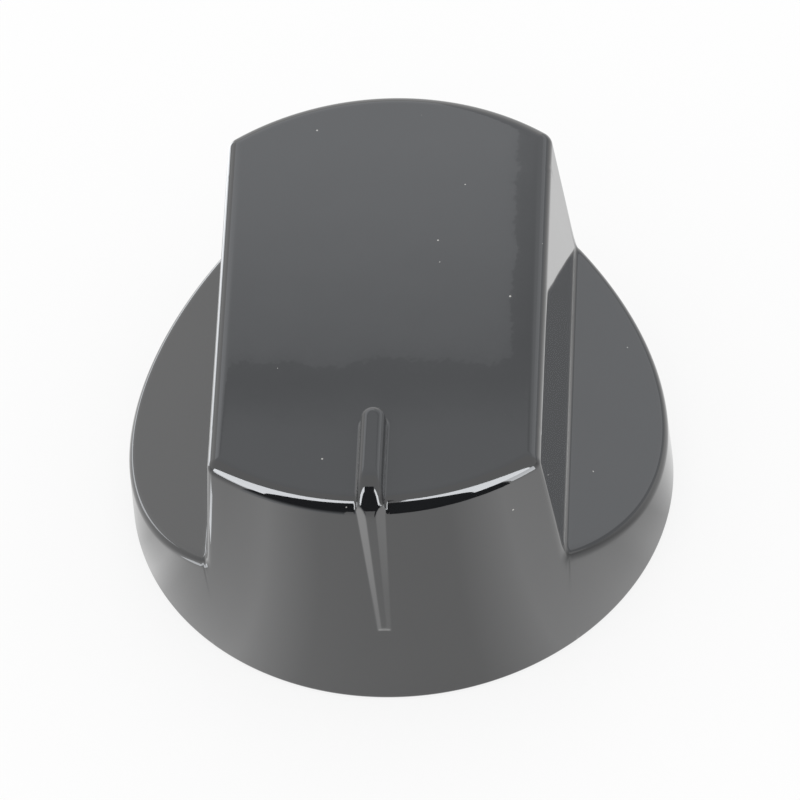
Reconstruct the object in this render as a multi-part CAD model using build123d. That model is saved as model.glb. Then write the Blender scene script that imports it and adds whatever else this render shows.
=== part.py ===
from build123d import *
import os
from math import cos, radians, sin, tan

# A push-on control knob for a cooker: one hollow moulding with a wide bar grip across a round
# skirt, a raised pointer, a boss with a D socket, and a spring ring that closes the slit boss
# on the spindle. Millimetres, Z up, origin at the centre of the base on the spindle axis.
# The pointer looks along -Y and the two shoulders lie on the X sides.

# Outer form, with leans in degrees
base_diameter = 44.0
height = 23.9
wall_draft = 1.6
grip_width = 28.5
grip_draft = 5.5
shoulder_height = 10.8
shoulder_slope = 33.0
wall = 2.2

# Rounded edges
foot_radius = 0.7
edge_radius = 1.2
base_bevel = 0.3

# Pointer
pointer_length = 8.7
pointer_height = 1.8
pointer_reach = 0.36
pointer_crown = 1.8
pointer_flank_draft = 6.0
pointer_tip_height = 8.9
pointer_front_width = 1.0
pointer_tip_width = 0.45
pointer_nose_angle = 40.0
pointer_bend_radius = 2.3
pointer_back_radius = 0.6
pointer_bevel = 0.12
pointer_root = 1.0
pointer_run_in = 3.0

# Boss and D socket for the spindle
spindle_diameter = 8.0
spindle_across_flat = 6.5
spindle_clearance = 0.1
socket_depth = 14.0
socket_lead_in = 0.5
boss_wall = 2.9
boss_recess = 1.5
slit_width = 1.2
slit_depth = 9.5

# Webs between the boss and the walls
web_thickness = 1.6
web_gap = 1.8
web_angles = (45, 135, 225, 315)

# Spring ring
ring_thickness = 0.7
ring_width = 5.0
ring_gap_angle = 50.0
ring_clearance = 0.05
ring_lip = 1.2

# Places worked out from the sizes above
base_radius = base_diameter / 2
span = 2 * base_diameter
grip_half_width = grip_width / 2
spindle_radius = spindle_diameter / 2 + spindle_clearance
flat_offset = spindle_across_flat - spindle_diameter / 2 + spindle_clearance
boss_radius = spindle_radius + boss_wall
groove_radius = boss_radius - ring_thickness - ring_clearance
ring_foot = boss_recess + ring_lip
web_rise = ring_foot + ring_width + web_gap
near_zero = 0.01


def wall_radius(z):
    """Radius of the drafted outer wall at a height."""
    return base_radius - z * tan(radians(wall_draft))


def turned_blank(inset):
    """The round wall as a solid frustum, drawn in from its side and its top by inset."""
    foot = base_radius - inset / cos(radians(wall_draft))
    rise = height - inset
    return Solid.make_cone(foot, foot - rise * tan(radians(wall_draft)), rise)


def bar_section(inset):
    """Section across the grip: a tapered bar on two shoulders that fall away to the sides."""
    half_top = grip_half_width - (height - shoulder_height) * tan(radians(grip_draft))
    edge_height = shoulder_height - (span - grip_half_width) * tan(radians(shoulder_slope))
    right = [
        (half_top, height),
        (grip_half_width, shoulder_height),
        (span, edge_height),
        (span, edge_height - span),
    ]
    left = [(-x, z) for x, z in reversed(right)]
    section = make_face(Polyline(*right, *left, close=True))
    if inset:
        section = offset(section, amount=-inset, kind=Kind.INTERSECTION)
    return Plane.XZ * section


def knob_form(inset):
    """The turned blank cut to the bar section, with every edge still sharp."""
    return turned_blank(inset) & extrude(bar_section(inset), amount=span, both=True)


def rounded_form():
    """The outer form with its foot lines filleted, its outer edges rounded and its base bevelled."""
    form = knob_form(0)
    foot_lines = form.edges().filter_by(Axis.Y).group_by(Axis.Z)[0]
    form = fillet(foot_lines, foot_radius)
    grip_lines = form.edges().filter_by(Axis.Y).group_by(Axis.Z)[-1]
    skirt = form.faces().filter_by(GeomType.CONE).sort_by(SortBy.AREA)[-1]
    base_line = skirt.edges().sort_by(Axis.Z)[0]
    outline = [edge for edge in skirt.edges() if not edge.is_same(base_line)]
    form = fillet([*outline, *grip_lines], edge_radius)
    base_line = form.edges().group_by(Axis.Z)[0]
    return chamfer(base_line, base_bevel)


def is_ridge(face):
    """True for a face that looks up or forwards along the pointer's middle plane."""
    normal = face.normal_at(face.center())
    return abs(normal.X) < near_zero < normal.Z


def nose_plan(front_width, reach, back, z):
    """Plan of the pointer at a height: a bar whose sides open backwards from its narrow front."""
    half_front = front_width / 2
    half_back = half_front + (reach - back) / tan(radians(pointer_nose_angle))
    outline = Polyline(
        (-half_front, -reach),
        (half_front, -reach),
        (half_back, -back),
        (-half_back, -back),
        close=True,
    )
    return Pos(0, 0, z) * make_face(outline)


def pointer():
    """The pointer as the common part of its side, plan and front views, with its ridge bevelled.

    Its front leans less than the wall does, so it sinks into the wall at the tip and ends inside it.
    """
    crown_height = height + pointer_height
    tip_reach = wall_radius(pointer_tip_height)
    top_reach = wall_radius(height) + pointer_reach
    lean = (tip_reach - top_reach) / (height - pointer_tip_height)
    crown_reach = top_reach - pointer_height * lean
    end_height = pointer_tip_height - pointer_run_in
    end_reach = tip_reach + pointer_run_in * lean
    back = wall_radius(height) - pointer_length
    inner_reach = wall_radius(height) - pointer_root
    side = Plane.YZ * make_face(Polyline(
        (-back, height - pointer_root),
        (-back, crown_height),
        (-crown_reach, crown_height),
        (-end_reach, end_height),
        (-end_reach + pointer_root, end_height),
        (-inner_reach, height - pointer_root),
        close=True,
    ))
    blade = extrude(side, amount=span, both=True)
    crown_ends = blade.edges().filter_by(Axis.X).group_by(Axis.Z)[-1].sort_by(Axis.Y)
    blade = fillet(crown_ends[0], pointer_bend_radius)
    crown_ends = blade.edges().filter_by(Axis.X).group_by(Axis.Z)[-1].sort_by(Axis.Y)
    blade = fillet(crown_ends[-1], pointer_back_radius)

    taper = (pointer_front_width - pointer_tip_width) / (height - pointer_tip_height)
    nose_reach = max(end_reach, crown_reach)
    nose = loft([
        nose_plan(pointer_tip_width - pointer_run_in * taper, nose_reach, back, end_height),
        nose_plan(pointer_front_width + pointer_height * taper, nose_reach, back, crown_height),
    ])

    half_crown = pointer_crown / 2
    half_foot = half_crown + crown_height * tan(radians(pointer_flank_draft))
    front = Plane.XZ * make_face(Polyline(
        (-half_crown, crown_height),
        (half_crown, crown_height),
        (half_foot, 0),
        (-half_foot, 0),
        close=True,
    ))
    rib = blade & nose & extrude(front, amount=span, both=True)

    ridge_lines = [
        edge
        for face in rib.faces()
        if is_ridge(face)
        for edge in face.edges()
        if abs(edge.center().X) > near_zero
    ]
    return chamfer(ridge_lines, pointer_bevel)


def boss():
    """Round boss from its recessed end up into the top wall."""
    rise = height - wall / 2 - boss_recess
    column = Cylinder(boss_radius, rise, align=(Align.CENTER, Align.CENTER, Align.MIN))
    return Pos(0, 0, boss_recess) * column


def webs():
    """Upright webs from the boss to the walls, above the ring, trimmed to the inside of the form."""
    rise = height - web_rise
    blade = Box(base_radius, web_thickness, rise, align=(Align.MIN, Align.CENTER, Align.MIN))
    stars = [Pos(0, 0, web_rise) * Rot(0, 0, angle) * blade for angle in web_angles]
    return Part() + stars & knob_form(wall / 2)


def socket():
    """D-shaped socket: a round hole with one flat towards the pointer, and a bevelled mouth."""
    circle = Circle(spindle_radius)
    keep = Pos(0, spindle_radius - flat_offset) * Rectangle(span, 2 * spindle_radius)
    profile = circle & keep
    hole = Pos(0, 0, boss_recess) * extrude(profile, amount=socket_depth)
    mouth = hole.faces().sort_by(Axis.Z)[0]
    wide = offset(mouth, amount=socket_lead_in)
    narrow = Pos(0, 0, socket_lead_in) * mouth
    return hole + loft([wide, narrow])


def slits():
    """Two slits in one line that split the boss beside the flat, so that it can close."""
    cut = Box(span / 2, slit_width, slit_depth, align=(Align.CENTER, Align.CENTER, Align.MIN))
    return Pos(0, 0, boss_recess) * cut


def ring_groove():
    """The seat turned into the boss for the spring ring."""
    outer = Circle(boss_radius + ring_thickness)
    return Pos(0, 0, ring_foot) * extrude(outer - Circle(groove_radius), amount=ring_width)


def spring_ring():
    """Split band of spring steel that stands on the lip of its groove."""
    inner = groove_radius + ring_clearance
    band = Circle(inner + ring_thickness) - Circle(inner)
    half_gap = radians(ring_gap_angle / 2)
    reach = 2 * boss_radius
    gap = make_face(Polyline(
        (0, 0),
        (reach * sin(half_gap), reach * cos(half_gap)),
        (-reach * sin(half_gap), reach * cos(half_gap)),
        close=True,
    ))
    return Pos(0, 0, ring_foot) * extrude(band - gap, amount=ring_width)


def knob_body():
    """The whole moulding."""
    shell = rounded_form() + pointer()
    shell = shell - knob_form(wall)
    inside = boss() + webs()
    inside = inside - slits() - ring_groove()
    return shell + inside - socket()


os.makedirs("parts", exist_ok=True)
nodes = {"knob_body": knob_body(), "spring_ring": spring_ring()}
for name, solid in nodes.items():
    export_step(solid, f"parts/{name}.step")
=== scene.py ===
import math

import bpy
import numpy as np
from mathutils import Matrix, Vector


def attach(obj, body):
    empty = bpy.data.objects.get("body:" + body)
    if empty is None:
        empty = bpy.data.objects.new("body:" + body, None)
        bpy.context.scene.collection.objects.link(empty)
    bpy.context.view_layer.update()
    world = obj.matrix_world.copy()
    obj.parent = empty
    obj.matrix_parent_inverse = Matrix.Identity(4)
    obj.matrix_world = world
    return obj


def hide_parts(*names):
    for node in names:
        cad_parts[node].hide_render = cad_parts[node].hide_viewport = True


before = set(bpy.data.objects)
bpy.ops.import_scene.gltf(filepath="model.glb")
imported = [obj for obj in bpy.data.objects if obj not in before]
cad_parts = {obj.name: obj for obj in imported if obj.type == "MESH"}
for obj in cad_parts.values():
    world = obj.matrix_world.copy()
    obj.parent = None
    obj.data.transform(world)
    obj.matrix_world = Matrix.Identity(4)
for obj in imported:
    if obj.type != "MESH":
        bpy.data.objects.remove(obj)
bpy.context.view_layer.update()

MM = 0.001
DEG = math.pi / 180
TINY = 1e-9

# Outer form of the moulding in millimetres and degrees, as in the solid
BASE_RADIUS = 22.0
HEIGHT = 23.9
WALL_DRAFT = 1.6
GRIP_HALF_WIDTH = 14.25
GRIP_DRAFT = 5.5
SHOULDER_HEIGHT = 10.8
SHOULDER_SLOPE = 33.0
FOOT_RADIUS = 0.7
EDGE_RADIUS = 1.2
BASE_EDGE_RADIUS = 0.3

# Pointer
POINTER_LENGTH = 8.7
POINTER_HEIGHT = 1.8
POINTER_REACH = 0.55
POINTER_TIP_REACH = 0.27
POINTER_HALF_CROWN = 0.9
POINTER_FLANK_DRAFT = 6.0
POINTER_TIP_HEIGHT = 9.1
POINTER_HALF_FRONT = 0.36
POINTER_HALF_TIP = 0.18
POINTER_NOSE_ANGLE = 35.0
POINTER_TIP_ANGLE = 28.0
POINTER_BEND_RADIUS = 2.7
POINTER_RIDGE_RADIUS = 0.65
POINTER_NOSE_RADIUS = 0.14
POINTER_ROOT_RADIUS = 0.25

# Mesh of the outer skin: a flat core on the top, and columns that run from its rim down to the base
CORE_HALF_X = 10.2
CORE_HALF_Y = 8.5
RIM_START = 20.7
FRONT_STEP = 0.5
POINTER_CROWN_STEP = 0.06
POINTER_FLANK_STEP = 0.02
POINTER_FLANK_BAND = (0.7, 1.4)
POINTER_BAND = 1.9
FRONT_CENTRE = (5.5, 8.0)
BACK_CENTRE = (3.5, 8.0)
SIDE_CENTRE = (-2.2, 5.0)
CORNER_CENTRE = (1.0, 5.0)
CORNER_COLUMNS = 84
CORNER_SHARES = (0, 0.08, 0.58, 1)
CORNER_TURNS = (3.2, 11.5)
ROWS = 112
ROW_LENGTH = 1.1
ROW_TURN = 6.5
ROW_BLUR = 10
TRACE = 260
TRACE_BLUR = 5
HALVINGS = 12
NEWTON_STEPS = 5
LEAST_SLOPE = 0.05

# Joining the skin to the solid's own underside
MERGE_STEP = 0.0005
SKIN_TOLERANCE = 0.3
SHARP_ANGLE = 32.0
HOLLOW_RIM = 3.0


def wall_radius(z):
    """Radius of the drafted wall at a height."""
    return BASE_RADIUS - z * math.tan(WALL_DRAFT * DEG)


def plane(points, normal, offset):
    """Signed distance to a plane, and its normal at every point."""
    normal = np.asarray(normal, float)
    return points @ normal - offset, np.broadcast_to(normal, points.shape)


def mirrored_plane(points, normal, offset):
    """The same for a pair of planes, one on each side of x = 0."""
    side = np.where(points[..., 0] < 0, -1.0, 1.0)
    folded = points * np.stack([side, np.ones_like(side), np.ones_like(side)], -1)
    distance, normals = plane(folded, normal, offset)
    normals = normals.copy()
    normals[..., 0] *= side
    return distance, normals


def cone(points):
    """Signed distance to the drafted round wall: radius less wall radius, times the draft's cosine."""
    radius = np.maximum(np.hypot(points[..., 0], points[..., 1]), TINY)
    lean = WALL_DRAFT * DEG
    distance = (radius - BASE_RADIUS) * math.cos(lean) + points[..., 2] * math.sin(lean)
    normals = np.stack([
        points[..., 0] / radius * math.cos(lean),
        points[..., 1] / radius * math.cos(lean),
        np.full_like(radius, math.sin(lean)),
    ], -1)
    return distance, normals


def both(first, second, radius):
    """Common part of two fields, with their edge rolled to a radius.

    Where a point sees the edge, its distance is that to the axis of the rolling ball less the radius.
    The axis lies a radius inside both faces, and c is the cosine between their normals.
    """
    a, normal_a = first
    b, normal_b = second
    c = (normal_a * normal_b).sum(-1)
    u = a + radius
    v = b + radius
    edge = (u > c * v) & (v > c * u)
    spread = np.maximum(1 - c * c, TINY)
    reach = np.sqrt(np.maximum((u * u + v * v - 2 * c * u * v) / spread, TINY**2))
    distance = np.where(edge, reach - radius, np.maximum(a, b))
    rolled = (u - c * v)[..., None] * normal_a + (v - c * u)[..., None] * normal_b
    rolled = rolled / (spread * reach)[..., None]
    flat = np.where((a > b)[..., None], normal_a, normal_b)
    return distance, np.where(edge[..., None], rolled, flat)


def either(first, second, radius):
    """Sum of two fields, with a hollow fillet of a radius in the corner between them."""
    distance, normals = both((-first[0], -first[1]), (-second[0], -second[1]), radius)
    return -distance, -normals


def rolled_corner(fields, radius):
    """Common part of three fields, with their edges and the corner between them rolled to one radius.

    A ball's centre lies a radius inside the faces. The distance is the greatest length, over one, two or
    three faces, of a sum of their normals that reaches all of them with positive weights, less the radius.
    """
    lift = np.stack([distance for distance, _normal in fields], -1) + radius
    normals = np.stack([normal for _distance, normal in fields], -2)
    length = lift.max(-1)
    first = lift.argmax(-1)[..., None, None]
    heading = np.take_along_axis(normals, first, -2)[..., 0, :]
    for group in ([0, 1], [1, 2], [0, 2], [0, 1, 2]):
        chosen = normals[..., group, :]
        gram = chosen @ np.swapaxes(chosen, -1, -2) + TINY * np.eye(len(group))
        weight = np.linalg.solve(gram, lift[..., group, None])
        pull = (weight * chosen).sum(-2)
        reach = np.linalg.norm(pull, axis=-1)
        better = (weight[..., 0] > 0).all(-1) & (reach > length)
        length = np.where(better, reach, length)
        heading = np.where(better[..., None], pull / np.maximum(reach, TINY)[..., None], heading)
    return length - radius, heading


def body_field(points):
    """The turned wall cut to the grip and its two shoulders, edges rolled in the order of moulding."""
    draft = GRIP_DRAFT * DEG
    slope = SHOULDER_SLOPE * DEG
    side_normal = (math.cos(draft), 0, math.sin(draft))
    side_offset = GRIP_HALF_WIDTH * math.cos(draft) + SHOULDER_HEIGHT * math.sin(draft)
    shoulder_normal = (math.sin(slope), 0, math.cos(slope))
    shoulder_offset = GRIP_HALF_WIDTH * math.sin(slope) + SHOULDER_HEIGHT * math.cos(slope)
    top = plane(points, (0, 0, 1), HEIGHT)
    side = mirrored_plane(points, side_normal, side_offset)
    shoulder = mirrored_plane(points, shoulder_normal, shoulder_offset)
    grip = both(side, top, EDGE_RADIUS)
    upper = either(grip, shoulder, FOOT_RADIUS)
    wall = cone(points)
    distance, normals = both(upper, wall, EDGE_RADIUS)
    crown = points[..., 2] > HEIGHT - EDGE_RADIUS
    faces = [(face[0][crown], face[1][crown]) for face in (side, top, wall)]
    distance[crown], normals[crown] = rolled_corner(faces, EDGE_RADIUS)
    return distance, normals


def round_ended_bar(points, end_centre, crown_height):
    """The pointer's drafted flanks and the round end behind them.

    The distance is taken across the middle line, or from its back end where a point lies behind that,
    less half the crown's width, and both lean with the draft.
    """
    draft = POINTER_FLANK_DRAFT * DEG
    across = points[..., 0]
    behind = np.maximum(points[..., 1] + end_centre, 0)
    reach = np.maximum(np.hypot(across, behind), TINY)
    outside = (reach - POINTER_HALF_CROWN) * math.cos(draft)
    distance = outside + (points[..., 2] - crown_height) * math.sin(draft)
    normals = np.stack([
        across / reach * math.cos(draft),
        behind / reach * math.cos(draft),
        np.full_like(reach, math.sin(draft)),
    ], -1)
    return distance, normals


def pointer_field(points):
    """The pointer: a drafted bar with a round back end, cut by its crown, front, sloping tip and nose."""
    top_reach = wall_radius(HEIGHT) + POINTER_REACH
    tip_reach = wall_radius(POINTER_TIP_HEIGHT) + POINTER_TIP_REACH
    rise = HEIGHT - POINTER_TIP_HEIGHT
    lean = (tip_reach - top_reach) / rise
    crown_height = HEIGHT + POINTER_HEIGHT
    end_centre = wall_radius(HEIGHT) - POINTER_LENGTH + POINTER_HALF_CROWN
    upright = 1 / math.hypot(1, lean)
    tip_lean = POINTER_TIP_ANGLE * DEG
    tip_normal = (0, -math.cos(tip_lean), -math.sin(tip_lean))
    tip_offset = tip_reach * math.cos(tip_lean) - POINTER_TIP_HEIGHT * math.sin(tip_lean)
    crown = plane(points, (0, 0, 1), crown_height)
    front = plane(points, (0, -upright, lean * upright), (top_reach + HEIGHT * lean) * upright)
    tip = plane(points, tip_normal, tip_offset)
    blade = both(crown, front, POINTER_BEND_RADIUS)
    blade = both(blade, tip, POINTER_NOSE_RADIUS)
    bar = both(blade, round_ended_bar(points, end_centre, crown_height), POINTER_RIDGE_RADIUS)

    opening = 1 / math.tan(POINTER_NOSE_ANGLE * DEG)
    taper = (POINTER_HALF_FRONT - POINTER_HALF_TIP) / rise - opening * lean
    nose_normal = np.array([1, -opening, -taper])
    nose_offset = POINTER_HALF_TIP - taper * POINTER_TIP_HEIGHT + opening * tip_reach
    nose_length = np.linalg.norm(nose_normal)
    nose = mirrored_plane(points, nose_normal / nose_length, nose_offset / nose_length)
    return both(bar, nose, POINTER_NOSE_RADIUS)


def knob_field(points):
    """The body with the pointer on it, a small fillet along the pointer's root, and the base plane."""
    whole = either(body_field(points), pointer_field(points), POINTER_ROOT_RADIUS)
    return both(whole, plane(points, (0, 0, -1), 0), BASE_EDGE_RADIUS)


def strike(field, origin, direction, reach):
    """Distance along each ray, from inside the form, at which it leaves the field's surface.

    Halving the bracket finds the crossing, and Newton steps along the ray finish it.
    """
    near = np.zeros(direction.shape[:-1])
    far = np.full(direction.shape[:-1], reach)
    for _ in range(HALVINGS):
        middle = (near + far) / 2
        distance, _normal = field(origin + direction * middle[..., None])
        inside = distance < 0
        near = np.where(inside, middle, near)
        far = np.where(inside, far, middle)
    along = (near + far) / 2
    for _ in range(NEWTON_STEPS):
        distance, normal = field(origin + direction * along[..., None])
        slope = np.maximum((normal * direction).sum(-1), LEAST_SLOPE)
        along = np.clip(along - distance / slope, near, far)
    return along


def column_layout():
    """Plan of the columns, anticlockwise from the front left corner of the core.

    Each has a place on the core's rim, a place on the base circle, and a centre for its rays: the
    centre's distance from the rim and its height.
    """
    flank_start, flank_end = POINTER_FLANK_BAND
    half_front = np.concatenate([
        np.arange(POINTER_CROWN_STEP / 2, flank_start, POINTER_CROWN_STEP),
        np.arange(flank_start, flank_end, POINTER_FLANK_STEP),
        np.arange(flank_end, POINTER_BAND, POINTER_CROWN_STEP),
        np.arange(POINTER_BAND, CORE_HALF_X - FRONT_STEP / 2, FRONT_STEP),
        [CORE_HALF_X],
    ])
    front_x = np.concatenate([-half_front[::-1], half_front])
    back_x = np.linspace(CORE_HALF_X, -CORE_HALF_X, round(2 * CORE_HALF_X / FRONT_STEP) + 1)
    side_y = np.linspace(-CORE_HALF_Y, CORE_HALF_Y, round(2 * CORE_HALF_Y / FRONT_STEP) + 1)

    def chord(across):
        return np.sqrt(RIM_START**2 - across**2)

    def corner(sign_x, sign_y):
        start = math.atan2(chord(CORE_HALF_X), CORE_HALF_X)
        end = math.atan2(CORE_HALF_Y, chord(CORE_HALF_Y))
        turns = [start, start - CORNER_TURNS[0] * DEG, start - CORNER_TURNS[1] * DEG, end]
        angles = np.interp(np.linspace(0, 1, CORNER_COLUMNS + 2)[1:-1], CORNER_SHARES, turns)
        if sign_x * sign_y > 0:
            angles = angles[::-1]
        foot = RIM_START * np.stack([sign_x * np.cos(angles), sign_y * np.sin(angles)], -1)
        rim = np.broadcast_to([sign_x * CORE_HALF_X, sign_y * CORE_HALF_Y], foot.shape)
        return rim, foot

    sides = [
        (np.stack([front_x, np.full_like(front_x, -CORE_HALF_Y)], -1),
         np.stack([front_x, -chord(front_x)], -1)),
        corner(1, -1),
        (np.stack([np.full_like(side_y, CORE_HALF_X), side_y], -1),
         np.stack([chord(side_y), side_y], -1)),
        corner(1, 1),
        (np.stack([back_x, np.full_like(back_x, CORE_HALF_Y)], -1),
         np.stack([back_x, chord(back_x)], -1)),
        corner(-1, 1),
        (np.stack([np.full_like(side_y, -CORE_HALF_X), side_y[::-1]], -1),
         np.stack([-chord(side_y), side_y[::-1]], -1)),
        corner(-1, -1),
    ]
    centres = [FRONT_CENTRE, CORNER_CENTRE, SIDE_CENTRE, CORNER_CENTRE,
               BACK_CENTRE, CORNER_CENTRE, SIDE_CENTRE, CORNER_CENTRE]
    rim = np.concatenate([part[0] for part in sides])
    foot = np.concatenate([part[1] for part in sides])
    centre = np.concatenate([np.tile(place, (len(part[0]), 1)) for place, part in zip(centres, sides)])
    return rim, foot, centre


def outer_skin():
    """Grid of the skin, columns by rows, from the base ring up to the rim of the flat core.

    Every column is cut by an upright plane. Rays in that plane fan out from a centre inside the
    form, and the rows are then spread evenly by length plus turning, so that edges get most of them,
    and the columns of the pointer share their spread with their neighbours.
    """
    rim, foot, place = column_layout()
    outward = foot - rim
    length = np.linalg.norm(outward, axis=-1)
    outward = outward / length[:, None]
    offset = place[:, 0]
    level = place[:, 1]
    centre = np.concatenate([rim + outward * offset[:, None], level[:, None]], -1)
    start = np.arctan2(-level, length - offset)
    end = np.arctan2(HEIGHT - level, -offset)
    angles = start[:, None] + (end - start)[:, None] * np.linspace(0, 1, TRACE)
    points = cast(centre, outward, angles)

    step = np.diff(points, axis=1)
    run = np.linalg.norm(step, axis=-1)
    heading = step / np.maximum(run, TINY)[..., None]
    turn = np.arccos(np.clip((heading[:, 1:] * heading[:, :-1]).sum(-1), -1, 1))
    turn = np.pad((turn[:, :-1] + turn[:, 1:]) / 2, ((0, 0), (1, 1)), mode="edge")
    weight = run / ROW_LENGTH + turn / (ROW_TURN * DEG)
    kernel = np.ones(TRACE_BLUR) / TRACE_BLUR
    reach = TRACE_BLUR // 2
    weight = np.stack([np.convolve(np.pad(row, reach, mode="edge"), kernel, "valid") for row in weight])
    weight /= weight.sum(axis=1, keepdims=True)
    beside = (np.abs(rim[:, 0]) < POINTER_BAND) & (rim[:, 1] < 0)
    padded = np.pad(weight[beside], ((ROW_BLUR, ROW_BLUR), (0, 0)), mode="edge")
    window = np.lib.stride_tricks.sliding_window_view(padded, 2 * ROW_BLUR + 1, axis=0)
    weight[beside] = window.mean(axis=-1)
    total = np.pad(np.cumsum(weight, axis=1), ((0, 0), (1, 0)))
    total /= total[:, -1:]
    share = np.linspace(0, 1, ROWS)
    rows = np.stack([np.interp(share, total[i], angles[i]) for i in range(len(angles))])
    return cast(centre, outward, rows)


def cast(centre, outward, angles):
    """Points where rays at given angles in each column's plane meet the knob."""
    direction = np.concatenate([
        np.cos(angles)[..., None] * outward[:, None, :],
        np.sin(angles)[..., None],
    ], -1)
    origin = centre[:, None, :]
    along = strike(knob_field, origin, direction, 3 * BASE_RADIUS)
    return origin + direction * along[..., None]


def merged_triangles(node):
    """Vertices in millimetres and triangles of a CAD node, with equal corners merged."""
    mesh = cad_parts[node].data
    mesh.calc_loop_triangles()
    places = np.empty(len(mesh.vertices) * 3)
    mesh.vertices.foreach_get("co", places)
    corners = np.empty(len(mesh.loop_triangles) * 3, np.int64)
    mesh.loop_triangles.foreach_get("vertices", corners)
    grid = np.round(places.reshape(-1, 3) / MM / MERGE_STEP).astype(np.int64)
    unique, inverse = np.unique(grid, axis=0, return_inverse=True)
    triangles = inverse.reshape(-1)[corners].reshape(-1, 3)
    whole = (triangles[:, 0] != triangles[:, 1]) & (triangles[:, 1] != triangles[:, 2])
    whole &= triangles[:, 2] != triangles[:, 0]
    return unique * MERGE_STEP, triangles[whole]


def hollow():
    """The underside of the moulding: the solid's triangles that lie neither on the skin nor on the base."""
    points, triangles = merged_triangles("knob_body")
    distance = np.abs(knob_field(points)[0])
    on_skin = (distance < SKIN_TOLERANCE)[triangles].all(axis=1)
    on_base = (points[:, 2] < SKIN_TOLERANCE)[triangles].all(axis=1)
    triangles = triangles[~on_skin & ~on_base]
    used, packed = np.unique(triangles, return_inverse=True)
    return points[used], packed.reshape(-1, 3)


def zip_rings(outer, inner, points):
    """Triangles between two closed rings, taken in turn by their angle about the axis."""
    def by_angle(ring):
        angle = np.arctan2(points[ring, 1], points[ring, 0])
        order = np.argsort(angle)
        return ring[order], angle[order]

    outer, outer_angle = by_angle(outer)
    inner, inner_angle = by_angle(inner)
    from_outer = np.concatenate([np.ones(len(outer), int), np.zeros(len(inner), int)])
    order = np.argsort(np.concatenate([outer_angle, inner_angle]), kind="stable")
    from_outer = from_outer[order]
    outer_at = np.cumsum(from_outer) - 1
    inner_at = np.cumsum(1 - from_outer) - 1
    here_outer = outer[outer_at % len(outer)]
    here_inner = inner[inner_at % len(inner)]
    before_outer = outer[(outer_at - 1) % len(outer)]
    before_inner = inner[(inner_at - 1) % len(inner)]
    third = np.where(from_outer == 1, before_outer, before_inner)
    flip = (from_outer == 1)[:, None]
    return np.where(flip,
                    np.stack([here_inner, here_outer, third], -1),
                    np.stack([here_outer, third, here_inner], -1))


def new_piece(name, points, faces, sharp):
    """A smooth-shaded mesh object from points in millimetres, with edges over an angle kept sharp."""
    mesh = bpy.data.meshes.new(name)
    mesh.from_pydata((points * MM).tolist(), [], faces)
    mesh.polygons.foreach_set("use_smooth", np.ones(len(mesh.polygons), bool))
    mesh.set_sharp_from_angle(angle=sharp * DEG)
    mesh.update()
    piece = bpy.data.objects.new(name, mesh)
    bpy.context.scene.collection.objects.link(piece)
    return piece


def knob_shell():
    """The whole moulding as one closed mesh: skin, hollow, and the base ring that joins them."""
    grid = outer_skin()
    columns, rows = grid.shape[:2]
    index = np.arange(columns * rows).reshape(columns, rows)
    beside = np.roll(index, -1, axis=0)
    quads = np.stack([index[:, :-1], beside[:, :-1], beside[:, 1:], index[:, 1:]], -1).reshape(-1, 4)
    core = index[:, -1].tolist()
    inside, triangles = hollow()
    points = np.concatenate([grid.reshape(-1, 3), inside])
    triangles = triangles + columns * rows
    rim = np.unique(triangles)
    radius = np.hypot(points[rim, 0], points[rim, 1])
    rim = rim[(points[rim, 2] < SKIN_TOLERANCE) & (radius > RIM_START - HOLLOW_RIM)]
    ring = zip_rings(index[:, 0], rim, points)
    faces = quads.tolist() + [core] + triangles.tolist() + ring.tolist()
    return new_piece("knob_shell", points, faces, SHARP_ANGLE)


shell = knob_shell()
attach(shell, "root")
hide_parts("knob_body")


def node_group(name, inputs, outputs):
    """An empty shader node group with its input and output nodes."""
    group = bpy.data.node_groups.new(name, "ShaderNodeTree")
    for label, kind, value in inputs:
        socket = group.interface.new_socket(label, in_out="INPUT", socket_type=kind)
        if value is not None:
            socket.default_value = value
    for label, kind in outputs:
        group.interface.new_socket(label, in_out="OUTPUT", socket_type=kind)
    return group, group.nodes.new("NodeGroupInput"), group.nodes.new("NodeGroupOutput")


def add_node(tree, kind, settings=None, **sockets):
    """A node in a tree, with its settings and with values or links put on its named inputs."""
    node = tree.nodes.new(kind)
    for label, value in (settings or {}).items():
        setattr(node, label, value)
    for label, value in sockets.items():
        put(tree, node.inputs[label.replace("_", " ")], value)
    return node


def put(tree, socket, value):
    """A number, a colour or another node's output on an input socket."""
    if isinstance(value, bpy.types.NodeSocket):
        tree.links.new(value, socket)
    else:
        socket.default_value = value


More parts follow.
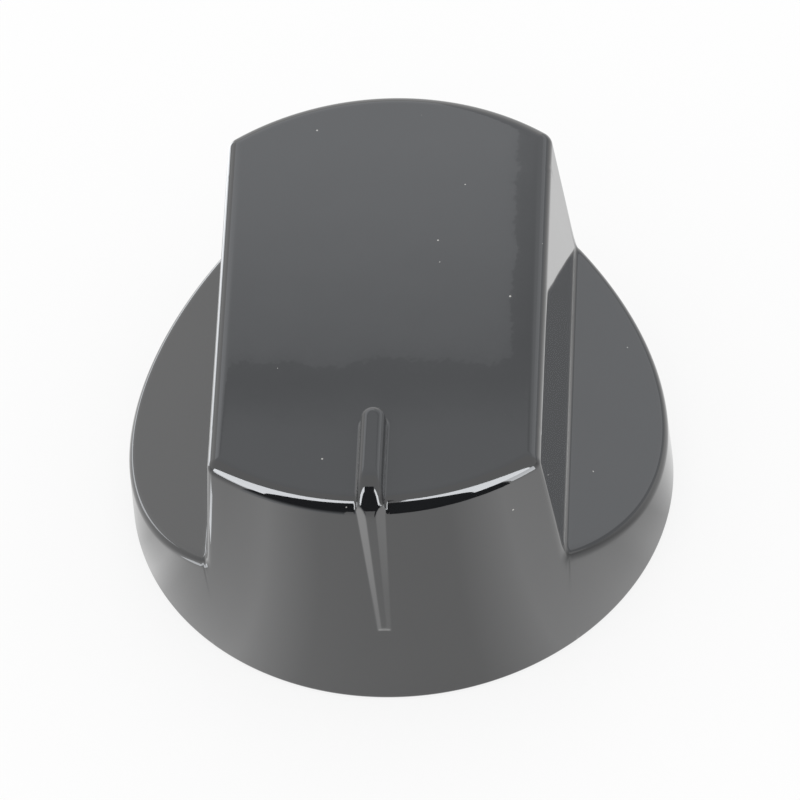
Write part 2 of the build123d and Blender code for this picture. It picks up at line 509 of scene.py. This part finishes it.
def ripple_group():
    """Moulded ripple: the surface normal, tilted a little by slow and by fine noise."""
    group, given, result = node_group(
        "ripple",
        [("Vector", "NodeSocketVector", None),
         ("Wave Scale", "NodeSocketFloat", 300.0),
         ("Wave Tilt", "NodeSocketFloat", 0.004),
         ("Grain Scale", "NodeSocketFloat", 2500.0),
         ("Grain Tilt", "NodeSocketFloat", 0.002)],
        [("Normal", "NodeSocketVector")],
    )
    place = given.outputs["Vector"]
    total = add_node(group, "ShaderNodeNewGeometry").outputs["Normal"]
    for scale, tilt in (("Wave Scale", "Wave Tilt"), ("Grain Scale", "Grain Tilt")):
        noise = add_node(group, "ShaderNodeTexNoise", Vector=place, Scale=given.outputs[scale], Detail=1.0)
        centred = add_node(group, "ShaderNodeVectorMath", {"operation": "SUBTRACT"})
        put(group, centred.inputs[0], noise.outputs["Color"])
        put(group, centred.inputs[1], (0.5, 0.5, 0.5))
        scaled = add_node(group, "ShaderNodeVectorMath", {"operation": "SCALE"})
        put(group, scaled.inputs[0], centred.outputs["Vector"])
        put(group, scaled.inputs["Scale"], given.outputs[tilt])
        added = add_node(group, "ShaderNodeVectorMath", {"operation": "ADD"})
        put(group, added.inputs[0], total)
        put(group, added.inputs[1], scaled.outputs["Vector"])
        total = added.outputs["Vector"]
    unit = add_node(group, "ShaderNodeVectorMath", {"operation": "NORMALIZE"})
    put(group, unit.inputs[0], total)
    put(group, result.inputs["Normal"], unit.outputs["Vector"])
    return group


def dust_group():
    """Dust: small specks in random cells, of which only a share holds one, as a mask from 0 to 1."""
    group, given, result = node_group(
        "dust",
        [("Vector", "NodeSocketVector", None),
         ("Scale", "NodeSocketFloat", 500.0),
         ("Speck Size", "NodeSocketFloat", 0.055),
         ("Share", "NodeSocketFloat", 0.4)],
        [("Mask", "NodeSocketFloat")],
    )
    place = given.outputs["Vector"]
    cells = add_node(group, "ShaderNodeTexVoronoi", Vector=place, Scale=given.outputs["Scale"])
    split = add_node(group, "ShaderNodeSeparateColor", Color=cells.outputs["Color"])
    chosen = add_node(group, "ShaderNodeMath", {"operation": "LESS_THAN"})
    put(group, chosen.inputs[0], split.outputs["Red"])
    put(group, chosen.inputs[1], given.outputs["Share"])
    size = add_node(group, "ShaderNodeMath", {"operation": "MULTIPLY"})
    put(group, size.inputs[0], given.outputs["Speck Size"])
    put(group, size.inputs[1], split.outputs["Green"])
    spot = add_node(group, "ShaderNodeMath", {"operation": "LESS_THAN"})
    put(group, spot.inputs[0], cells.outputs["Distance"])
    put(group, spot.inputs[1], size.outputs["Value"])
    mask = add_node(group, "ShaderNodeMath", {"operation": "MULTIPLY"})
    put(group, mask.inputs[0], chosen.outputs["Value"])
    put(group, mask.inputs[1], spot.outputs["Value"])
    put(group, result.inputs["Mask"], mask.outputs["Value"])
    return group


# Finishes: colours, and the least and greatest roughness
PLASTIC_DARK = (0.0105, 0.0112, 0.0125, 1)
PLASTIC_LIGHT = (0.0145, 0.0152, 0.0165, 1)
PLASTIC_ROUGHNESS = (0.035, 0.055)
PLASTIC_IOR = 1.5
COAT_ROUGHNESS = 0.012
BLOOM_SCALE = 140.0
DUST_COLOUR = (0.45, 0.44, 0.42, 1)
STEEL_DARK = (0.47, 0.48, 0.49, 1)
STEEL_LIGHT = (0.62, 0.63, 0.64, 1)
STEEL_ROUGHNESS = (0.22, 0.4)
STEEL_GRAIN = (40.0, 40.0, 4000.0)

RIPPLE = ripple_group()
DUST = dust_group()


def new_material(name):
    """A material with its tree, its surface shader and the object's own coordinates."""
    material = bpy.data.materials.new(name)
    material.use_nodes = True
    tree = material.node_tree
    shader = tree.nodes["Principled BSDF"]
    place = add_node(tree, "ShaderNodeTexCoord").outputs["Object"]
    return material, tree, shader, place


def black_plastic():
    """Polished black moulding: two gloss layers, a faint ripple, a slight bloom and a few dust specks."""
    material, tree, shader, place = new_material("black_plastic")
    ripple = add_node(tree, "ShaderNodeGroup", {"node_tree": RIPPLE}, Vector=place)
    dust = add_node(tree, "ShaderNodeGroup", {"node_tree": DUST}, Vector=place)
    bloom = add_node(tree, "ShaderNodeTexNoise", Vector=place, Scale=BLOOM_SCALE, Detail=3.0)
    tone = add_node(tree, "ShaderNodeMix", {"data_type": "RGBA"})
    put(tree, tone.inputs["Factor"], bloom.outputs["Fac"])
    put(tree, tone.inputs[6], PLASTIC_DARK)
    put(tree, tone.inputs[7], PLASTIC_LIGHT)
    dusted = add_node(tree, "ShaderNodeMix", {"data_type": "RGBA"})
    put(tree, dusted.inputs["Factor"], dust.outputs["Mask"])
    put(tree, dusted.inputs[6], tone.outputs[2])
    put(tree, dusted.inputs[7], DUST_COLOUR)
    put(tree, shader.inputs["Base Color"], dusted.outputs[2])
    rough = add_node(tree, "ShaderNodeMapRange", Value=bloom.outputs["Fac"])
    put(tree, rough.inputs["To Min"], PLASTIC_ROUGHNESS[0])
    put(tree, rough.inputs["To Max"], PLASTIC_ROUGHNESS[1])
    put(tree, shader.inputs["Roughness"], rough.outputs["Result"])
    put(tree, shader.inputs["Normal"], ripple.outputs["Normal"])
    put(tree, shader.inputs["Coat Normal"], ripple.outputs["Normal"])
    shader.inputs["IOR"].default_value = PLASTIC_IOR
    shader.inputs["Coat Weight"].default_value = 1.0
    shader.inputs["Coat Roughness"].default_value = COAT_ROUGHNESS
    shader.inputs["Coat IOR"].default_value = PLASTIC_IOR
    return material


def spring_steel():
    """Rolled spring steel: fine grain along the strip's turn and a faint ripple."""
    material, tree, shader, place = new_material("spring_steel")
    stretched = add_node(tree, "ShaderNodeMapping", Vector=place, Scale=STEEL_GRAIN)
    grain = add_node(tree, "ShaderNodeTexNoise", Vector=stretched.outputs["Vector"], Scale=1.0, Detail=4.0)
    tone = add_node(tree, "ShaderNodeMix", {"data_type": "RGBA"})
    put(tree, tone.inputs["Factor"], grain.outputs["Fac"])
    put(tree, tone.inputs[6], STEEL_DARK)
    put(tree, tone.inputs[7], STEEL_LIGHT)
    put(tree, shader.inputs["Base Color"], tone.outputs[2])
    rough = add_node(tree, "ShaderNodeMapRange", Value=grain.outputs["Fac"])
    put(tree, rough.inputs["To Min"], STEEL_ROUGHNESS[0])
    put(tree, rough.inputs["To Max"], STEEL_ROUGHNESS[1])
    put(tree, shader.inputs["Roughness"], rough.outputs["Result"])
    ripple = add_node(tree, "ShaderNodeGroup", {"node_tree": RIPPLE}, Vector=place)
    put(tree, shader.inputs["Normal"], ripple.outputs["Normal"])
    shader.inputs["Metallic"].default_value = 1.0
    return material


def paint(piece, material):
    """One material on a piece."""
    piece.data.materials.clear()
    piece.data.materials.append(material)


paint(shell, black_plastic())
paint(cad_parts["spring_ring"], spring_steel())


# Studio: lengths in millimetres, and angles around the knob or about the front axis
ARCH_AZIMUTH = -5.0
ARCH_INNER = 48.0
CARD_DISTANCE = 900.0
LAMP_DISTANCE = 880.0
CARD_TINT = (0.975, 1.0, 1.035, 1)
ROOF_PLACES = (60, 219, 226, 232, 246, 264, 500)
ROOF_LEVELS = (0.97, 0.96, 0.77, 0.75, 0.86, 1.02, 1.02)
PANEL_RIGHT = -14.5
PANEL_PLACES = (221.1, 225, 233, 241, 256, 600)
PANEL_LEVELS = (0.97, 1.06, 1.16, 1.28, 1.43, 1.43)
FLOOR_REACH = 4.0
FLOOR_GAP = 0.02
FLOOR_WHITE = 0.98
FLOOR_TURNS = (-180, -146, -128, -112, -88, -75, -67, -60, -52, -43, -37, -20,
               0, 20, 38, 47, 58, 66, 72, 80, 112, 128, 146, 180)
FLOOR_LEVELS = (0.7, 0.7, 0.66, 0.92, 0.66, 0.6, 0.88, 0.72, 0.8, 1.0, 1.17, 0.86,
                0.88, 0.85, 1.26, 1.12, 0.93, 0.74, 0.68, 0.5, 0.92, 0.68, 0.72, 0.72)
FLOOR_GLOSS_SHARE = 0.9
DARK_FLOOR_PLACES = (-900, -82, -60, -47, -41)
DARK_FLOOR_LEVELS = (0, 0, 0.2, 0.5, 0.85)
FLOOR_CARD_HEIGHT = 0.2
FLOOR_CAMERA_SHARE = 0.8
LAMP_LEVEL = 8.0
ROOF_HEIGHT = 310
PANEL_HEIGHT = 300
ARCH_GRID = (61, 5)
SKY_GRID = (13, 9)
FLOOR_CARD_GRID = 25


def direction(azimuth, elevation):
    """Unit vectors from the object: azimuth from the front towards the right, and elevation."""
    azimuth = np.asarray(azimuth, float) * DEG
    elevation = np.asarray(elevation, float) * DEG
    return np.stack([
        np.sin(azimuth) * np.cos(elevation),
        -np.cos(azimuth) * np.cos(elevation),
        np.sin(elevation) + 0 * azimuth,
    ], -1)


def grid_faces(across, along):
    """Quads of an open grid of points."""
    index = np.arange(across * along).reshape(across, along)
    corners = [index[:-1, :-1], index[1:, :-1], index[1:, 1:], index[:-1, 1:]]
    return np.stack(corners, -1).reshape(-1, 4).tolist()


def reflect_only(card):
    """A studio card that the object's gloss sees and nothing else does."""
    card.visible_camera = False
    card.visible_diffuse = False
    card.visible_shadow = False
    card.visible_transmission = False
    card.visible_volume_scatter = False


def graded(tree, value, places, levels):
    """A level read off at a value, in straight steps between the places given for it."""
    share = add_node(tree, "ShaderNodeMapRange", Value=value)
    put(tree, share.inputs["From Min"], places[0])
    put(tree, share.inputs["From Max"], places[-1])
    ramp = add_node(tree, "ShaderNodeValToRGB", Fac=share.outputs["Result"])
    stops = ramp.color_ramp.elements
    peak = max(levels)
    span = places[-1] - places[0]
    for position in places[1:-1]:
        stops.new((position - places[0]) / span)
    for stop, level in zip(stops, levels):
        stop.color = (level / peak, level / peak, level / peak, 1)
    scaled = add_node(tree, "ShaderNodeMath", {"operation": "MULTIPLY"})
    put(tree, scaled.inputs[0], ramp.outputs["Color"])
    put(tree, scaled.inputs[1], peak)
    return scaled.outputs["Value"]


def card_material(name, levels, places):
    """Light from a card, even or graded along Y between places in millimetres."""
    material = bpy.data.materials.new(name)
    material.use_nodes = True
    tree = material.node_tree
    tree.nodes.remove(tree.nodes["Principled BSDF"])
    light = add_node(tree, "ShaderNodeEmission", Color=CARD_TINT)
    if places is None:
        put(tree, light.inputs["Strength"], levels)
    else:
        place = add_node(tree, "ShaderNodeTexCoord").outputs["Object"]
        along = add_node(tree, "ShaderNodeSeparateXYZ", Vector=place).outputs["Y"]
        put(tree, light.inputs["Strength"], graded(tree, along, [at * MM for at in places], levels))
    put(tree, tree.nodes["Material Output"].inputs["Surface"], light.outputs["Emission"])
    return material


def add_card(name, points, levels, places=None):
    """A card from a grid of points in millimetres."""
    mesh = bpy.data.meshes.new(name)
    mesh.from_pydata((points.reshape(-1, 3) * MM).tolist(), [], grid_faces(*points.shape[:2]))
    card = bpy.data.objects.new(name, mesh)
    bpy.context.scene.collection.objects.link(card)
    card.data.materials.append(card_material(name, levels, places))
    reflect_only(card)
    return card


def flat_card(name, x_span, z, levels, places):
    """A level rectangle, from the first to the last of the places along Y."""
    x, y = np.meshgrid(x_span, (places[0], places[-1]), indexing="ij")
    return add_card(name, np.stack([x, y, np.full_like(x, z)], -1), levels, places)


def floor_card(name, azimuths, radii, levels, places=None):
    """A sector of a ring that lies just above the floor."""
    azimuth = np.linspace(*azimuths, FLOOR_CARD_GRID)[:, None]
    radius = np.array(radii, float)[None, :, None]
    points = direction(azimuth, np.zeros_like(azimuth)) * radius
    points[..., 2] = FLOOR_CARD_HEIGHT
    return add_card(name, points, levels, places)


def sky_card(name, azimuths, elevations, level):
    """A patch of a far sphere between two azimuths and two elevations."""
    across = np.linspace(*azimuths, SKY_GRID[0])
    upward = np.linspace(*elevations, SKY_GRID[1])
    azimuth, elevation = np.meshgrid(across, upward, indexing="ij")
    return add_card(name, direction(azimuth, elevation) * CARD_DISTANCE, level)


def arch_card(name, top, foot, turns, distance, level):
    """Part of a ring around the front axis.

    A point lies at an angle from the axis, between an inner and an outer angle that pass smoothly from
    those at the ring's top to those at its feet, and it is turned about the axis from
    the first to the second of the turns.
    """
    turn = np.linspace(*turns, ARCH_GRID[0])[:, None] * DEG
    share = np.linspace(0, 1, ARCH_GRID[1])[None, :]
    blend = np.abs(np.cos(turn))
    inner = top[0] + (foot[0] - top[0]) * blend
    outer = top[1] + (foot[1] - top[1]) * blend
    polar = (inner + (outer - inner) * share) * DEG
    axis = direction(ARCH_AZIMUTH, 0)
    side = direction(ARCH_AZIMUTH + 90, 0)
    up = np.cross(axis, side)
    spread = np.cos(turn)[..., None] * side + np.sin(turn)[..., None] * up
    points = np.cos(polar)[..., None] * axis + np.sin(polar)[..., None] * spread
    return add_card(name, points * distance, level)


def add_world():
    """White room around the knob."""
    world = bpy.data.worlds.new("studio")
    world.use_nodes = True
    world.node_tree.nodes["Background"].inputs["Color"].default_value = (1, 1, 1, 1)
    bpy.context.scene.world = world


def add_floor():
    """White floor that keeps the knob's shadow and glows in its gloss by direction."""
    mesh = bpy.data.meshes.new("floor")
    reach = FLOOR_REACH
    mesh.from_pydata([(-reach, -reach, 0), (reach, -reach, 0), (reach, reach, 0), (-reach, reach, 0)],
                     [], [(0, 1, 2, 3)])
    floor = bpy.data.objects.new("floor", mesh)
    floor.location.z = -FLOOR_GAP * MM
    bpy.context.scene.collection.objects.link(floor)
    floor.data.materials.append(floor_material())


def floor_material():
    """Paper for the light, white for the camera, and a level that changes around the knob for the gloss."""
    material = bpy.data.materials.new("floor")
    material.use_nodes = True
    tree = material.node_tree
    tree.nodes.remove(tree.nodes["Principled BSDF"])
    path = add_node(tree, "ShaderNodeLightPath")
    paper = add_node(tree, "ShaderNodeBsdfDiffuse", Color=(FLOOR_WHITE, FLOOR_WHITE, FLOOR_WHITE, 1))
    place = add_node(tree, "ShaderNodeTexCoord").outputs["Object"]
    split = add_node(tree, "ShaderNodeSeparateXYZ", Vector=place)
    ahead = add_node(tree, "ShaderNodeMath", {"operation": "MULTIPLY"})
    put(tree, ahead.inputs[0], split.outputs["Y"])
    put(tree, ahead.inputs[1], -1.0)
    around = add_node(tree, "ShaderNodeMath", {"operation": "ARCTAN2"})
    put(tree, around.inputs[0], split.outputs["X"])
    put(tree, around.inputs[1], ahead.outputs["Value"])
    turns = [at * DEG for at in FLOOR_TURNS]
    glow = graded(tree, around.outputs["Value"], turns, FLOOR_LEVELS)
    mirrored = add_node(tree, "ShaderNodeEmission", Strength=glow)
    white = add_node(tree, "ShaderNodeEmission", Strength=1.0)
    by_gloss = add_node(tree, "ShaderNodeMath", {"operation": "MULTIPLY"})
    put(tree, by_gloss.inputs[0], path.outputs["Is Glossy Ray"])
    put(tree, by_gloss.inputs[1], FLOOR_GLOSS_SHARE)
    by_camera = add_node(tree, "ShaderNodeMath", {"operation": "MULTIPLY"})
    put(tree, by_camera.inputs[0], path.outputs["Is Camera Ray"])
    put(tree, by_camera.inputs[1], FLOOR_CAMERA_SHARE)
    gloss_side = add_node(tree, "ShaderNodeMixShader", Fac=by_gloss.outputs["Value"])
    put(tree, gloss_side.inputs[1], paper.outputs["BSDF"])
    put(tree, gloss_side.inputs[2], mirrored.outputs["Emission"])
    whole = add_node(tree, "ShaderNodeMixShader", Fac=by_camera.outputs["Value"])
    put(tree, whole.inputs[1], gloss_side.outputs["Shader"])
    put(tree, whole.inputs[2], white.outputs["Emission"])
    put(tree, tree.nodes["Material Output"].inputs["Surface"], whole.outputs["Shader"])
    return material


def add_cards():
    """A dark side behind the camera framed by lamps, cards on the floor and in the room, and a roof."""
    far = CARD_DISTANCE
    lamp = {"distance": LAMP_DISTANCE, "level": LAMP_LEVEL}
    dark = {"distance": far, "level": 0.0}
    arch_card("dark_side", top=(0, ARCH_INNER), foot=(0, ARCH_INNER), turns=(0, 360), **dark)
    arch_card("dark_gap", top=(47, 66), foot=(47, 66), turns=(87, 97), **dark)
    arch_card("lamp_left", top=(52, 66), foot=(37.5, 60), turns=(97, 181), **lamp)
    arch_card("lamp_right", top=(54, 61), foot=(36.5, 58), turns=(-1, 82), **lamp)
    floor_card("lamp_left_foot", azimuths=(-61, -47), radii=(190, far), levels=5.5)
    floor_card("lamp_right_foot", azimuths=(42, 57), radii=(56, far), levels=5.0)
    floor_card("left_edge_light", azimuths=(-66, -58), radii=(30, 36), levels=2.3)
    floor_card("dark_floor_left", (-46, -12), (43, far), DARK_FLOOR_LEVELS, DARK_FLOOR_PLACES)
    floor_card("dark_floor_middle", azimuths=(-12, 2), radii=(85, far), levels=0.0)
    floor_card("dark_floor_right", azimuths=(2, 41), radii=(45, far), levels=0.0)
    floor_card("bright_floor", azimuths=(-150, -98), radii=(46, 125), levels=2.4)
    sky_card("right_glow", azimuths=(105, 155), elevations=(13, 38), level=1.17)
    sky_card("right_dim", azimuths=(95, 165), elevations=(-1, 13), level=0.7)
    flat_card("roof", (-300, 300), ROOF_HEIGHT, ROOF_LEVELS, ROOF_PLACES)
    flat_card("panel", (-400, PANEL_RIGHT), PANEL_HEIGHT, PANEL_LEVELS, PANEL_PLACES)


add_world()
add_floor()
add_cards()

# Camera at the photograph's angle
EYE_ELEVATION = 50.98
EYE_AZIMUTH = 7.44
EYE_ROLL = -6.73
EYE_DISTANCE = 733.3
FOCAL_PIXELS = 9022.0
PICTURE = 800
SENSOR = 36.0
AIM_UP = 83.6
AIM_RIGHT = -3.25


def add_camera():
    """Camera that looks at the knob from above and a little to the right, rolled as in the picture."""
    el = EYE_ELEVATION * DEG
    az = EYE_AZIMUTH * DEG
    roll = EYE_ROLL * DEG
    back = Vector((math.sin(az) * math.cos(el), -math.cos(az) * math.cos(el), math.sin(el)))
    right = Vector((math.cos(az), math.sin(az), 0))
    up = back.cross(right)
    turned_right = right * math.cos(roll) + up * math.sin(roll)
    turned_up = up * math.cos(roll) - right * math.sin(roll)
    forward = (turned_right * AIM_RIGHT + turned_up * AIM_UP - back * FOCAL_PIXELS).normalized()
    z_axis = -forward
    x_axis = turned_up.cross(z_axis).normalized()
    y_axis = z_axis.cross(x_axis)
    data = bpy.data.cameras.new("camera")
    data.sensor_width = SENSOR
    data.lens = SENSOR * FOCAL_PIXELS / PICTURE
    data.clip_start = 0.01
    data.clip_end = 20
    camera = bpy.data.objects.new("camera", data)
    place = Matrix((x_axis, y_axis, z_axis)).transposed().to_4x4()
    place.translation = back * EYE_DISTANCE * MM
    camera.matrix_world = place
    bpy.context.scene.collection.objects.link(camera)
    bpy.context.scene.camera = camera


add_camera()
bpy.context.scene.view_settings.view_transform = "Standard"
